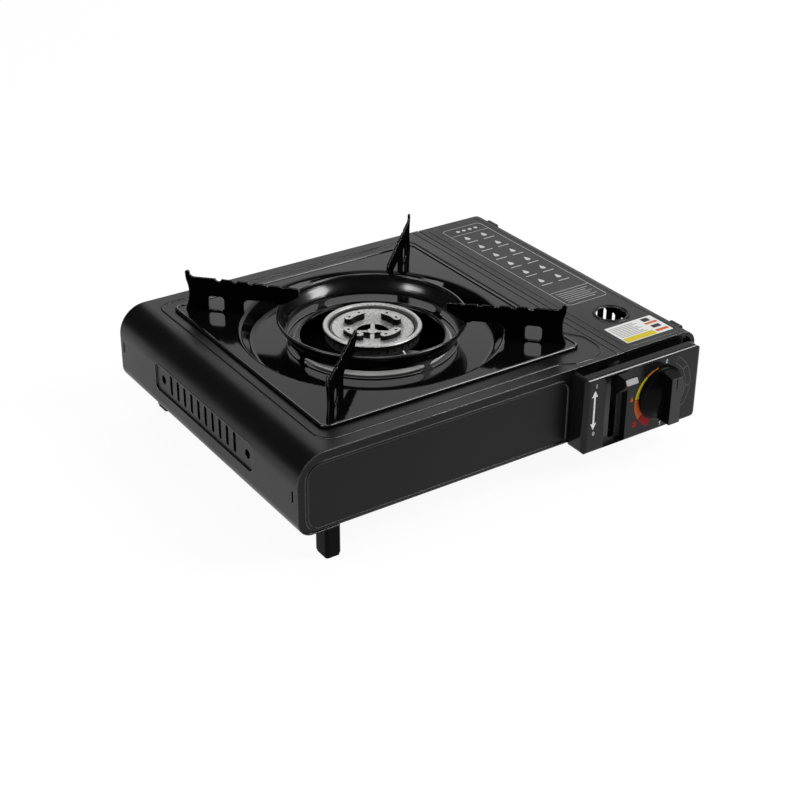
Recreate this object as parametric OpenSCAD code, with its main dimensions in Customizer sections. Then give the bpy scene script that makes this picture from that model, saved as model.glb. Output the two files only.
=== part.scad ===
/* [Body] */
// Deck at the left of the drip tray
deck_left = 34.5; // [32:0.5:38]
// Deck at the right of the drip tray
deck_right = 21.5; // [20:0.5:26]
// Height of the deck above the table
deck_h = 88; // [86:0.5:94]
// Height of the body's underside, the feet's length
floor_h = 26.7; // [24:0.1:28]
// Thickness of the body's sheet steel
sheet = 0.8; // [0.6:0.1:1]
// Radius of the rolled edge at the top left
top_edge_r = 22; // [14:1:26]
// Radius of the rolled edge at the bottom left
low_edge_r = 12; // [8:1:14]
/* [Canister bay] */
// Diameter of the gas canister that the bay takes
can_d = 66; // [62:0.5:66]
// Length of the gas canister
can_len = 188; // [180:1:190]
// Clear space round the canister in its trough
can_gap = 1.5; // [1:0.1:1.8]
// Clear space between the canister and the walls beside it
can_side = 1.4; // [1.2:0.1:3]
// Distance from the front plate to the face of the gas inlet
inlet_y = 52; // [50:0.5:56]
// Space behind the canister for the push pad and the slide
rear_room = 20; // [18:0.5:26]
// Radius of the lid's rolled right edge
lid_edge_r = 12; // [10:0.5:13]
/* [Drip tray and pan support] */
// Width of the square drip tray
tray_w = 221; // [216:1:226]
// Narrowest width of the tray's flat, beside the trough
tray_rim = 9.5; // [7:0.5:12]
// Radius of the lip round the burner opening
lip_r = 54; // [51:1:57]
// Distance from the lip out to the wind ring
ring_gap = 10; // [9:0.5:13]
// Height of the wind ring's rim above the deck
ring_rise = 12.3; // [10:0.1:14]
// Height of the pan support's flats above the deck
support_rise = 28.8; // [26:0.2:32]
// Thickness of a support arm
arm_t = 1.6; // [1.2:0.1:2.4]
/* [Burner] */
// Radius of the burner's cap
cap_r = 37.3; // [35:0.5:40]
// Height of the burner's top above the deck
cap_rise = 3.3; // [2:0.1:6]
// Number of flame ports in the burner's side
port_count = 36; // [24:4:44]
/* [Controls] */
// Distance from the control box's left end to the lever's slot
slot_side = 31; // [28:0.5:34]
// How far the control box stands out of the front
box_out = 17; // [15:0.5:20]
// Radius of the knob's skirt
knob_r = 21.4; // [18:0.2:22]
// How far the knob's grip stands out of the front
knob_reach = 33.5; // [30:0.5:36]
// Turn of the knob from off to ignition
knob_turn = 150; // [120:5:160]
// Swing of the lock lever from released to locked
lever_swing = 48; // [40:1:50]
/* [Hidden] */
$fn = 64;
e = 0.01;

// Places that several pieces share, in the stove's own frame: x from the left side,
// y from the front plate, z from the table
fit_gap = 0.4;
run_gap = 0.05;
groove = 1;
wall_gap = 0.6;
collar_gap = 7;
part_x = deck_left + tray_w + deck_right;
lid_x = part_x + groove;
lid_w = can_d + 2 * can_side + 2 * sheet + wall_gap - groove;
body_w = lid_x + lid_w;
body_d = inlet_y + collar_gap + can_len + rear_room;
y_mid = (body_d - knob_reach) / 2;
deck_in = deck_h - sheet;
base_z = floor_h + sheet;
base_top = base_z + sheet;
lid_end_gap = 0.6;
lid_in = body_w - sheet;
wall_out = lid_in - wall_gap;
wall_in = wall_out - sheet;
wall_top = deck_h - lid_edge_r - 5.5;
can_x = (part_x + wall_in) / 2;
can_r = can_d / 2;
can_z = deck_h - 2.5 - can_r;
bay_r = can_r + can_gap;
right_low_r = 7;
trough_edge_x = can_x + sqrt(pow(bay_r + sheet, 2) - pow(can_z - base_z, 2)) + 0.3;
tray_x = deck_left + tray_w / 2;
tray_y = body_d / 2;
trough_r = tray_w / 2 - tray_rim;
ring_r = lip_r + ring_gap;
plate_y = 0.5;
bay_wall_y = 2.2;
hinge_x = body_w - 4;
hinge_z = deck_h - 12;
hinge_ys = [16.2, body_d - 19];
pin_r = 1.45;
slot_x = part_x - 17.4;
slot_w = 6;
box_x = slot_x - slot_side;
box_w = wall_in - 7.2 - box_x;
box_low = floor_h - 2.2;
box_top = deck_h - 2.2;
box_t = 1;
knob_x = can_x - 11.1;
knob_z = deck_h - 32;
pivot_y = 28;
pivot_z = deck_h - 31;
crank_r = 11;
lever_rest = lever_swing / 2;
bar_half = 4;
channel = 6;
slot_half = (pivot_y + box_out - channel) * tan(lever_rest) + bar_half / cos(lever_rest) + 3;
spindle_r = 3;

// Flat outlines and ways to stand them up

module rounded(w, h, r) {
    translate([r, 0]) square([w - 2 * r, h]);
    translate([0, r]) square([w, h - 2 * r]);
    for (x = [r, w - r], y = [r, h - r]) translate([x, y]) circle(r);
}

module rounded_mid(w, h, r) {
    translate([-w / 2, -h / 2]) rounded(w, h, r);
}

// An outline in (x, z), thick along y from y0 to y1
module along_y(y0, y1) {
    translate([0, y1, 0]) rotate([90, 0, 0]) linear_extrude(y1 - y0) children();
}

// An outline in (y, z), thick along x from x0 to x1
module along_x(x0, x1) {
    translate([x0, 0, 0]) rotate([90, 0, 90]) linear_extrude(x1 - x0) children();
}

module box_at(p, q) {
    translate(p) cube(q - p);
}

module rod(p, q, r) {
    d = q - p;
    len = norm(d);
    translate(p) rotate([0, acos(d[2] / len), atan2(d[1], d[0])]) cylinder(r = r, h = len);
}

// Straight runs of tube with a fuller ball at each bend
module tube_path(points, r) {
    for (i = [0:len(points) - 2]) {
        rod(points[i], points[i + 1], r);
        if (i > 0) translate(points[i]) sphere(r + 0.2);
    }
}

// Corners are listed from the lower left one, round by the right
corner_side = [[-1, -1], [1, -1], [1, 1], [-1, 1]];
edge_side = [[0, -1], [1, 0], [0, 1], [-1, 0]];

function corner_mid(w, h, r, i) = [corner_side[i][0] * (w / 2 - r[i]), corner_side[i][1] * (h / 2 - r[i])];

// A rectangle about the origin whose four corners have their own radii
module cornered(w, h, r) {
    polygon([for (i = [0:3], k = [3, 0]) corner_mid(w, h, r, i) + r[i] * edge_side[(i + k) % 4]]);
    for (i = [0:3]) translate(corner_mid(w, h, r, i)) circle(r[i]);
}

// A half-round bead laid along the same outline
module bead_loop(w, h, corners, r) {
    for (i = [0:3]) {
        k = (i + 1) % 4;
        from = corner_mid(w, h, corners, i) + corners[i] * edge_side[i];
        to = corner_mid(w, h, corners, k) + corners[k] * edge_side[i];
        rod([from[0], from[1], 0], [to[0], to[1], 0], r);
        translate(corner_mid(w, h, corners, i)) rotate(180 + 90 * i)
            rotate_extrude(angle = 90) translate([corners[i], 0]) circle(r, $fn = 24);
    }
}

function arc(c, r, a0, a1, n = 8) = [for (i = [0:n]) let (a = a0 + (a1 - a0) * i / n)
    c + r * [cos(a), sin(a)]];
function back_to_front(p) = [for (i = [len(p) - 1:-1:0]) p[i]];
// A sheet's section: a path and the same path moved by the sheet's thickness
function sheet_section(p, shift) = concat(p, [for (q = back_to_front(p)) q + shift]);

// The stove's frame has its origin at the middle of the whole stove's footprint
module placed() {
    translate([-body_w / 2, -y_mid, 0]) children();
}

module at_tray() {
    translate([tray_x, tray_y, 0]) children();
}

// Body

// Section of the body with its rolled left edges, moved inwards by d
module left_outline(d, right) {
    translate([top_edge_r, deck_h - top_edge_r]) circle(top_edge_r - d);
    translate([low_edge_r, floor_h + low_edge_r]) circle(low_edge_r - d);
    translate([d, floor_h + low_edge_r]) square([top_edge_r - d, deck_h - floor_h - low_edge_r - top_edge_r]);
    translate([top_edge_r, floor_h + low_edge_r])
        square([right - top_edge_r, deck_h - floor_h - low_edge_r - d]);
    translate([low_edge_r, floor_h + d]) square([right - low_edge_r, low_edge_r]);
}

shell_lap = 32;
vent_y0 = tray_y - 73.5;
vent_y1 = tray_y + 74.5;
vent_z0 = floor_h + 19.3;
vent_z1 = floor_h + 42.3;
vent_in = 1.2;
vent_count = 10;
vent_pitch = 10.7;
vent_w = 4.4;
vent_hole_r = 3.6;
tray_hole_w = 2 * (trough_r + 3);

module vent_outline(d) {
    translate([vent_y0 + d, vent_z0 + d])
        rounded(vent_y1 - vent_y0 - 2 * d, vent_z1 - vent_z0 - 2 * d, 5 - d);
}

module shell_wrap() {
    along_y(0, body_d) difference() {
        left_outline(0, part_x);
        left_outline(sheet, part_x + e);
        translate([shell_lap, floor_h - e]) square([part_x, deck_h - floor_h - top_edge_r]);
        translate([part_x - sheet - e, floor_h]) square([sheet + 1, deck_in - floor_h]);
    }
}

// The deck's formed panel round the tray, with a lobe at the front right corner
bead_at = [deck_left - 7.5, 11.5, part_x - deck_right + 4.8, body_d - 11.5];
bead_r = 0.9;
bead_z = deck_h - 0.2;
lobe_r = 17;
lobe_out = [7.9, 5.7];
lobe_from = 36;
lobe_slope = 12;

module deck_bead() {
    w = bead_at[2] - bead_at[0];
    h = bead_at[3] - bead_at[1];
    right = bead_at[2] + lobe_out[0];
    front = bead_at[1] - lobe_out[1];
    start = bead_at[2] - lobe_from;
    end = bead_at[1] + lobe_from;
    difference() {
        translate([bead_at[0] + w / 2, bead_at[1] + h / 2, bead_z]) bead_loop(w, h, [12, 12, 12, 12], bead_r);
        box_at([start, bead_at[1] - 2, bead_z - 2], [bead_at[2] + 2, end, bead_z + 2]);
    }
    tube_path([[start - 1, bead_at[1], bead_z], [start, bead_at[1], bead_z],
        [start + lobe_slope, front, bead_z], [right - lobe_r, front, bead_z]], bead_r);
    tube_path([[right, front + lobe_r, bead_z], [right, end - lobe_slope, bead_z],
        [bead_at[2], end, bead_z], [bead_at[2], end + 1, bead_z]], bead_r);
    translate([right - lobe_r, front + lobe_r, bead_z]) rotate(-90)
        rotate_extrude(angle = 90) translate([lobe_r, 0]) circle(bead_r, $fn = 24);
    box_at([part_x - 5.6, 1, deck_h - e], [part_x - 4.6, body_d - 1, deck_h + 0.35]);
}

module body_shell() color("#202123") placed() {
    difference() {
        union() {
            shell_wrap();
            deck_bead();
            box_at([part_x - sheet, plate_y + sheet, deck_in - 7],
                [part_x, body_d - plate_y - sheet, deck_in + e]);
        }
        at_tray() translate([0, 0, deck_in - 2]) linear_extrude(5)
            rounded_mid(tray_hole_w, tray_hole_w, 14);
        along_x(-1, sheet + 1) vent_outline(0);
        for (y = [6.3, body_d - 5.6])
            box_at([-1, y - 1.3, floor_h + 26], [sheet + 1, y + 1.3, floor_h + 35]);
        screw_holes();
    }
    difference() {
        along_x(e, vent_in + sheet) difference() {
            vent_outline(-0.4);
            vent_outline(sheet);
        }
        along_x(sheet - e, vent_in + sheet + 1) difference() {
            vent_outline(-2);
            vent_outline(0);
        }
    }
    difference() {
        along_x(vent_in, vent_in + sheet) vent_outline(e);
        for (i = [0:vent_count - 1]) {
            y = tray_y - (vent_count - 1) / 2 * vent_pitch + 1.6 + i * vent_pitch;
            along_x(0, 4) translate([y - vent_w / 2, vent_z0 + 4.5]) rounded(vent_w, 16.4, vent_w / 2 - 0.01);
        }
        for (y = [vent_y0 + 8.6, vent_y1 - 12.6])
            translate([0, y, vent_z0 + 12.2]) rotate([0, 90, 0]) cylinder(r = vent_hole_r, h = 4);
    }
}

// The base plate carries the burner and dips into a trough under the canister
base_x0 = low_edge_r + 2;
floor_vents = [for (x = [70:22:220], y = [60, 190]) [x, y]];

module base_outline() {
    difference() {
        union() {
            translate([base_x0, base_z]) square([wall_out - right_low_r - base_x0, sheet]);
            difference() {
                translate([can_x, can_z]) circle(bay_r + sheet);
                translate([0, base_top]) square([body_w, deck_h]);
            }
        }
        translate([can_x, can_z]) circle(bay_r);
    }
}

module base_plate() color("#2b2c2e") placed() difference() {
    along_y(bay_wall_y + 1, body_d - plate_y - sheet) base_outline();
    for (v = floor_vents)
        translate([v[0], v[1], base_z - 1]) linear_extrude(4) rounded_mid(12, 34, 3);
    screw_holes();
}

// Section of the right wall with its rolled lower edge, moved inwards by d
module wall_outline(d) {
    r = right_low_r;
    translate([wall_out - r, floor_h + r]) circle(r - d);
    translate([wall_out - r - 1, floor_h + r]) square([r + 1 - d, wall_top - floor_h - r]);
    translate([trough_edge_x, floor_h + d]) square([wall_out - r - trough_edge_x + e, r]);
}

wall_vents = [for (i = [0:13]) 58.5 + i * 10.6];
wall_vent_z = floor_h + 18;
wall_vent_h = wall_top - 5.8 - wall_vent_z;

module right_wall() color("#26272a") placed() difference() {
    along_y(bay_wall_y + 1, body_d - plate_y - sheet) difference() {
        wall_outline(0);
        wall_outline(sheet);
        square([trough_edge_x, deck_h]);
        translate([0, floor_h + sheet]) square([wall_out - right_low_r, deck_h]);
    }
    for (y = wall_vents)
        along_x(wall_in - 1, wall_out + 1) translate([y - 2, wall_vent_z]) rounded(4, wall_vent_h, 1.99);
}

// Front plate with a pressed panel that has rounded corners
press = [7.6, box_x - 1.6, floor_h + 2.6, deck_h - 8.2];
press_corners = [10, 3, 9, 12];
plate_flange = 3.6;
lever_window = [24, 44];

module front_outline(d) {
    left_outline(d, part_x);
}

module front_plate() color("#1c1d1f") placed() {
    difference() {
        union() {
            along_y(plate_y, plate_y + sheet) front_outline(sheet + run_gap);
            along_y(plate_y, plate_y + plate_flange) difference() {
                front_outline(sheet + run_gap);
                front_outline(2 * sheet + run_gap);
                translate([part_x - 3, 0]) square([10, deck_h + 1]);
                translate([low_edge_r, 0]) square([part_x, base_top + 2]);
            }
            translate([(press[0] + press[1]) / 2, plate_y + 0.5, (press[2] + press[3]) / 2])
                rotate([90, 0, 0]) bead_loop(press[1] - press[0], press[3] - press[2], press_corners, 1.2);
        }
        // openings into the control box
        along_y(-1, 4) translate([slot_x - 9, floor_h + 12]) rounded(lever_window[0], lever_window[1], 3);
        along_y(-1, 4) translate([box_x + 12.2, lead_low + 1.3]) circle(2 * lead_r);
    }
}

rear_vents = [for (i = [0:11]) 52 + i * 14];

module rear_outline(d) {
    union() {
        left_outline(d, wall_in - lid_edge_r);
        translate([part_x, floor_h + d]) square([wall_in - part_x - 10, 30]);
        intersection() {
            union() {
                translate([lid_in - lid_edge_r, deck_h - lid_edge_r]) circle(lid_edge_r - 1.8);
                translate([wall_in - lid_edge_r - 4, floor_h + 10])
                    square([lid_edge_r + 4, deck_h - lid_edge_r - floor_h - 10]);
            }
            translate([0, 0]) square([wall_in - fit_gap, deck_h]);
        }
        intersection() {
            translate([can_x, can_z]) circle(bay_r + sheet);
            translate([can_x - bay_r, 0]) square([2 * bay_r, base_top]);
        }
    }
}

module rear_plate() color("#1c1d1f") placed() difference() {
    along_y(body_d - plate_y - sheet, body_d - plate_y) difference() {
        rear_outline(sheet + run_gap);
        translate([part_x, deck_in - 0.4]) square([lid_w + 2, 5]);
        // clear of the lid's skirt as it swings
        translate([hinge_x, hinge_z]) circle(norm([body_w - hinge_x, hinge_z - lid_low]) + 0.6);
    }
    for (x = rear_vents)
        along_y(body_d - 4, body_d + 1) translate([x - 2, floor_h + 20]) rounded(4, 20, 1.99);
}

// Sheet wall that keeps the burner's heat from the canister
module partition() color("#8d8f92") placed() difference() {
    union() {
        box_at([part_x - sheet, plate_y + sheet, base_top], [part_x, body_d - plate_y - sheet, deck_in - 7]);
        box_at([part_x - 9, 60, base_top], [part_x, body_d - 20, base_top + sheet]);
    }
    // gas pipe
    along_x(part_x - 3, part_x + 2) translate([pipe_y, pipe_z]) circle(pipe_r + 1);
    // side arm of the canister slide
    box_at([part_x - 3, 8, base_top - 1], [part_x + 2, 46, base_top + 5]);
    for (i = [0:6])
        along_x(part_x - 3, part_x + 2) translate([80 + i * 22, floor_h + 22]) rounded(5, 20, 2.49);
    screw_holes();
}

// Front wall of the canister bay, which carries the valve
module bay_front_wall() color("#9a9c9f") placed() difference() {
    along_y(bay_wall_y, bay_wall_y + 1) {
        translate([part_x + run_gap, floor_h])
            square([wall_out - right_low_r - part_x, deck_in - 3 - floor_h]);
        intersection() {
            wall_outline(sheet + run_gap);
            translate([part_x, 0]) square([body_w, wall_top - 0.5]);
        }
        intersection() {
            translate([can_x, can_z]) circle(bay_r + sheet);
            translate([can_x - bay_r, 0]) square([2 * bay_r, base_top]);
        }
    }
    translate([knob_x, 0, knob_z]) rotate([-90, 0, 0]) cylinder(r = spindle_r + 1.5, h = 6);
}

// Control box: a moulded front with a rounded lip, its top sunk behind the lip
box_corners = [3, 9, 8, 3];
box_lip_r = 2.2;
box_side_r = 4;
lip_deep = 8;
shelf_low = 7;
channel_x = [slot_x - 12.6, slot_x + 8];
channel_z = [box_low + box_t, max(box_top - box_lip_r - 0.2, pivot_z + slot_half + 1)];
slot_foot = min(pivot_z - slot_half, channel_z[0] + 2.2);

module box_face(d) {
    translate([box_x + box_w / 2, (box_low + box_top) / 2])
        cornered(box_w - 2 * d, box_top - box_low - 2 * d, [for (r = box_corners) r - d]);
}

// The box's solid form moved inwards by d, with its front edges rounded
module box_form(d) {
    deep = box_out + 20;
    intersection() {
        along_y(-box_out + d, plate_y + d) box_face(d);
        along_x(box_x - 1, box_x + box_w + 1) translate([-box_out + d, box_low + d])
            rounded(deep, box_top - box_low - 2 * d, box_lip_r - d);
        translate([box_x + d, -box_out + d, box_low - 1]) linear_extrude(box_top - box_low + 2)
            rounded(box_w - 2 * d, deep, box_side_r - d);
    }
}

module channel_box(d) {
    box_at([channel_x[0] - d, -box_out - 1, channel_z[0] - d],
        [channel_x[1] + d, -box_out + channel + d, channel_z[1] + d]);
}

module control_box() color("#232427") placed() difference() {
    box_form(0);
    difference() {
        box_form(box_t);
        channel_box(box_t);
        box_at([box_x, -box_out, box_top - shelf_low - box_t], [box_x + box_w, 2, box_top]);
        // flange that laps the plate's lower edge
        box_at([box_x, plate_y - box_t, box_low], [box_x + box_w, plate_y + box_t + 1, floor_h + 1]);
    }
    channel_box(0);
    // sunk shelf behind the lip
    box_at([box_x + 3, -box_out + lip_deep, box_top - shelf_low],
        [box_x + box_w - 3, plate_y + 1, box_top + 1]);
    // slot for the lever
    along_y(-box_out, -1) translate([slot_x - slot_w / 2, slot_foot])
        rounded(slot_w, pivot_z + slot_half - slot_foot, 2);
    // hole for the spindle
    translate([knob_x, -box_out - 1, knob_z]) rotate([-90, 0, 0]) cylinder(r = spindle_r + 0.6, h = 4);
}

// Feet

foot = [12.3, 15];
foot_places = [[23.4, 3.3], [23.4, body_d - 22], [can_x + 5, 48], [can_x + 5, body_d - 32]];

// A moulded foot with a rounded sole, its top against the underside at height top
module foot_at(place, top) {
    translate([place[0], place[1], 0]) {
        translate([0, 0, 2]) linear_extrude(top - 2) rounded(foot[0], foot[1], 2.5);
        translate([0.6, 0.6, 0]) linear_extrude(2 + e) rounded(foot[0] - 1.2, foot[1] - 1.2, 2);
    }
}

module foot_front_left() color("#161617") placed() foot_at(foot_places[0], floor_h);
module foot_rear_left() color("#161617") placed() foot_at(foot_places[1], floor_h);
module foot_front_right() color("#161617") placed() difference() {
    foot_at(foot_places[2], floor_h + 2);
    translate([can_x, 0, can_z]) rotate([-90, 0, 0]) cylinder(r = bay_r + sheet + 0.12, h = body_d);
}
module foot_rear_right() color("#161617") placed() difference() {
    foot_at(foot_places[3], floor_h + 2);
    translate([can_x, 0, can_z]) rotate([-90, 0, 0]) cylinder(r = bay_r + sheet + 0.12, h = body_d);
}

// Burner

burner_z = deck_h + cap_rise;
seat_z = burner_z - 19;
tube_z = seat_z - 11;
tube_turn = -40;
tube_len = 92;
neck_r = 12;
bracket = [84, 44];
bracket_t = 1.2;
bracket_foot = 12;
leg_w = 28;

module burner_bracket() color("#c3c5c8") placed() at_tray() rotate(tube_turn + 90) difference() {
    union() {
        translate([0, 0, seat_z - bracket_t]) linear_extrude(bracket_t)
            rounded_mid(bracket[0], bracket[1], 4);
        for (s = [0, 180]) rotate(s) translate([bracket[0] / 2 - bracket_t / 2, -leg_w / 2, base_top]) {
            cube([bracket_t, leg_w, seat_z - base_top - bracket_t + e]);
            cube([bracket_foot, leg_w, bracket_t]);
        }
    }
    translate([0, 0, seat_z - 3]) cylinder(r = neck_r + 0.3, h = 6);
}

head_r = cap_r - 1.8;
head_t = 3;
port_w = 1.4;

module burner_head() color("#3a3a3c") placed() at_tray() {
    difference() {
        rotate_extrude($fn = 96) polygon([[neck_r, seat_z - 14], [neck_r, seat_z], [20, seat_z],
            [head_r - 4.5, seat_z + 6], [head_r, seat_z + 9], [head_r, burner_z - 3],
            [head_r - head_t, burner_z - 3], [head_r - head_t, seat_z + 11],
            [head_r - 7.5, seat_z + 8], [17, seat_z + 3], [9.5, seat_z + 1], [9.5, seat_z - 14]]);
        for (i = [0:port_count - 1]) rotate((i + 0.5) * 360 / port_count)
            translate([head_r - head_t - 1.5, -port_w / 2, burner_z - 7.6]) cube([head_t + 3, port_w, 3.2]);
        rotate(tube_turn) rod([5, 0, tube_z + 2.6], [14, 0, tube_z + 2.6], 6);
    }
    translate([0, 0, seat_z - 15]) cylinder(r = neck_r, h = 1.2);
}

// Dished cap with a rim, four kidney bosses and a cross over its middle opening
cap_bore = 12.5;
boss_r = 20.5;
boss_w = 6.6;
boss_turn = 36;
cross_at = [-34, 56];

module boss() {
    difference() {
        union() {
            rotate(-boss_turn / 2) rotate_extrude(angle = boss_turn) translate([boss_r - boss_w / 2, -5])
                square([boss_w, 5.8]);
            for (b = [-1, 1]) rotate(b * boss_turn / 2) translate([boss_r, 0, -4.9])
                cylinder(r = boss_w / 2 - 0.15, h = 5.6, $fn = 32);
        }
        for (b = [-14, 14]) rotate(b) translate([boss_r, 0, -2.5]) cylinder(r = 1.1, h = 8, $fn = 16);
    }
}

module burner_cap() color("#b9babd") placed() at_tray() translate([0, 0, burner_z]) {
    rim = cap_r - 3.2;
    rotate_extrude($fn = 96) polygon([[cap_bore, -7.4], [cap_bore, -6.2], [18, -4.4], [24, -2.8],
        [rim - 3.9, -2.1], [rim - 2.9, -2.75], [rim - 1.4, -2.75], [rim - 0.8, -0.7], [rim, 0],
        [cap_r - 0.6, 0], [cap_r, -0.7], [cap_r, -3], [rim - 2.6, -3], [rim - 3.1, -3.9],
        [24, -4.1], [18, -5.6]]);
    for (a = [11:90:281]) rotate(a) boss();
    for (a = cross_at) rotate(a) translate([-cap_bore - 0.6, -1.6, -7.2])
        cube([2 * cap_bore + 1.2, 3.2, 1.1]);
    translate([0, 0, -7]) cylinder(r = 4, h = 1.3);
}

module on_tube() {
    at_tray() rotate(tube_turn) translate([0, 0, tube_z]) children();
}

module mixing_tube() color("#a9abae") placed() on_tube() difference() {
    flare = tube_len - 10;
    union() {
        rod([12.6, 0, 0], [flare, 0, 0], 8.5);
        translate([flare, 0, 0]) rotate([0, 90, 0]) cylinder(r1 = 8.5, r2 = 11.5, h = 10);
    }
    rod([12, 0, 0], [flare, 0, 0], 7.3);
    translate([flare - e, 0, 0]) rotate([0, 90, 0]) cylinder(r1 = 7.3, r2 = 10.4, h = 10 + 2 * e);
    // air windows
    for (a = [45:90:315]) rotate([a, 0, 0]) translate([flare - 12, 0, 5]) linear_extrude(6)
        rounded_mid(12, 5, 2);
}

// Gas line

pipe_r = 3;
pipe_y = 40;
pipe_z = deck_h - 13;
pipe_end = [part_x + 13, pipe_y, pipe_z];
tube_dir = [cos(tube_turn), sin(tube_turn), 0];
tray_mid = [tray_x, tray_y, 0];
jet_start = tray_mid + (tube_len - 5) * tube_dir + [0, 0, tube_z];
jet_end = tray_mid + (tube_len + 9) * tube_dir + [0, 0, tube_z];
bend_low = tray_mid + (tube_len + 20) * tube_dir + [0, 0, tube_z];

module gas_jet() color("#c6a455") placed() difference() {
    union() {
        rod(jet_start, jet_start + 6.5 * tube_dir, 3);
        translate(jet_start + 6 * tube_dir) rotate([0, 90, tube_turn]) cylinder(r = 6, h = 8, $fn = 6);
    }
    rod(jet_start - tube_dir, jet_end + tube_dir, 0.6);
}

module gas_pipe() color("#c98f5a") placed()
    tube_path([jet_end, bend_low, [part_x - 26, pipe_y, pipe_z], pipe_end], pipe_r);

module pipe_nut() color("#c6a455") placed() difference() {
    translate([pipe_end[0] - 8, pipe_y, pipe_z]) rotate([0, 90, 0]) cylinder(r = 6.5, h = 8, $fn = 6);
    rod(pipe_end - [9, 0, 0], pipe_end + [1, 0, 0], pipe_r + run_gap);
}

// Valve and regulator

valve_x = pipe_end[0];
valve_y0 = bay_wall_y + 1;
valve_y1 = 34;
block = [42, 30];
seat_y = inlet_y;

module valve_body() color("#b4b6ba") placed() difference() {
    union() {
        along_y(valve_y0, valve_y1) translate([valve_x, can_z - 14]) rounded(block[0], block[1], 3);
        along_y(pipe_y - 7, seat_y - 7) translate([valve_x, can_z]) rounded(16, pipe_z + 7 - can_z, 3);
        along_y(valve_y1 - 4, seat_y - 7) translate([can_x, can_z]) circle(15);
        translate([knob_x, bay_wall_y + 1, knob_z]) rotate([-90, 0, 0]) cylinder(r = 7, h = 8);
    }
    rod([knob_x, 0, knob_z], [knob_x, 20, knob_z], spindle_r + run_gap);
    rod([can_x, valve_y1 - 4, can_z], [can_x, seat_y, can_z], 6);
    rod(pipe_end - [1, 0, 0], pipe_end + [8, 0, 0], pipe_r + run_gap);
}

module diaphragm_cover() color("#c8cacd") placed()
    translate([valve_x + block[0], (valve_y0 + valve_y1) / 2 + 0.4, can_z + 1]) rotate([0, 90, 0]) {
        cylinder(r = 13.5, h = 3);
        cylinder(r = 9, h = 6);
    }

// Socket for the canister's collar, with a key that fits the collar's notch
module gas_inlet() color("#d0d2d4") placed() difference() {
    along_y(seat_y - 7, seat_y) translate([can_x, can_z]) difference() {
        circle(17);
        circle(8.5);
    }
    along_y(seat_y - 3, seat_y + 1) translate([can_x, can_z]) difference() {
        circle(14.5);
        circle(12.5);
    }
}

module inlet_seal() color("#2a2a2a") placed()
    along_y(seat_y - 7, seat_y - 4) translate([can_x, can_z]) difference() {
        circle(8.5 - run_gap);
        circle(2.6);
    }

// Igniter

cam_y0 = -12;
cam_y1 = -5;
cam_r = 10.5;
cam_rise = 4;
piezo_x = knob_x + cam_r + cam_rise + 6;
piezo_len = box_x + box_w - box_t - 1 - piezo_x;
piezo_y = (cam_y0 + cam_y1) / 2;

module piezo_body() color("#2d3f63") placed() difference() {
    box_at([piezo_x, -box_out + 2 * box_t, knob_z - 6], [piezo_x + piezo_len, 0, knob_z + 6]);
    rod([piezo_x - 1, piezo_y, knob_z], [piezo_x + 11, piezo_y, knob_z], 2.6);
}

module igniter_plunger() color("#d9d6cc") placed() {
    tip = knob_x + cam_r + fit_gap;
    rod([tip + 1.2, piezo_y, knob_z], [piezo_x + 6, piezo_y, knob_z], 2.5);
    translate([tip, piezo_y, knob_z]) rotate([0, 90, 0]) cylinder(r1 = 1.4, r2 = 2.5, h = 1.2);
}

// Spiral cam: its radius grows evenly over the knob's turn
function cam_radius(a) = cam_r + cam_rise * min(1, max(0, a / knob_turn));

module igniter_cam() color("#dcdad2") placed() translate([knob_x, cam_y1, knob_z]) rotate([90, 0, 0])
    linear_extrude(cam_y1 - cam_y0) difference() {
        polygon([for (i = [0:71]) let (a = i * 5) cam_radius(a < 180 ? a : 0) * [cos(a), -sin(a)]]);
        circle(spindle_r);
    }

electrode = [0.8, -44.6];
lead_r = 1.2;

module electrode_insulator() color("#efece4") placed() at_tray()
    translate([electrode[0], electrode[1], seat_z - 12]) difference() {
        union() {
            cylinder(r = 3, h = 20);
            cylinder(r = 4.2, h = 6);
        }
        translate([0, 0, -1]) cylinder(r = 0.8, h = 24);
    }

module electrode_pin() color("#c9cbce") placed() at_tray() {
    foot = [electrode[0], electrode[1], seat_z - 10];
    knee = [electrode[0], electrode[1], seat_z + 11];
    tube_path([foot, knee, knee + [0.2, 4.6, 2.4]], 0.75);
}

module electrode_bracket() color("#d6d7d9") placed() at_tray() difference() {
    union() {
        translate([-8, electrode[1] - 6, seat_z - 6]) cube([32, 12, 1]);
        translate([-8, electrode[1] - 6, seat_z - 6]) cube([10, 30, 1]);
        translate([16, electrode[1] - 6, seat_z - 6]) cube([8, 1, 14]);
    }
    translate([electrode[0], electrode[1], seat_z - 7]) cylinder(r = 3.05, h = 3);
    rotate(tube_turn + 90) translate([0, 0, seat_z - 8]) linear_extrude(6) rounded_mid(84.4, 44.4, 4);
}

lead_low = floor_h + 2.8;
lead_route = [[piezo_x + 14, -6, knob_z - 6], [piezo_x + 14, -6.5, lead_low],
    [box_x + 12.5, -4, lead_low + 0.6],
    [box_x + 11.5, 12, lead_low + 3], [tray_x + 40, 60, lead_low + 8],
    [tray_x + electrode[0], tray_y + electrode[1] - 4, seat_z - 26],
    [tray_x + electrode[0], tray_y + electrode[1], seat_z - 12.2]];

module ignition_lead() color("#c9452f") placed() tube_path(lead_route, lead_r);

// Lock lever and canister slide

lever_t = 3;
bracket_x = [slot_x - 3.9, slot_x + 2.7];

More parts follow.
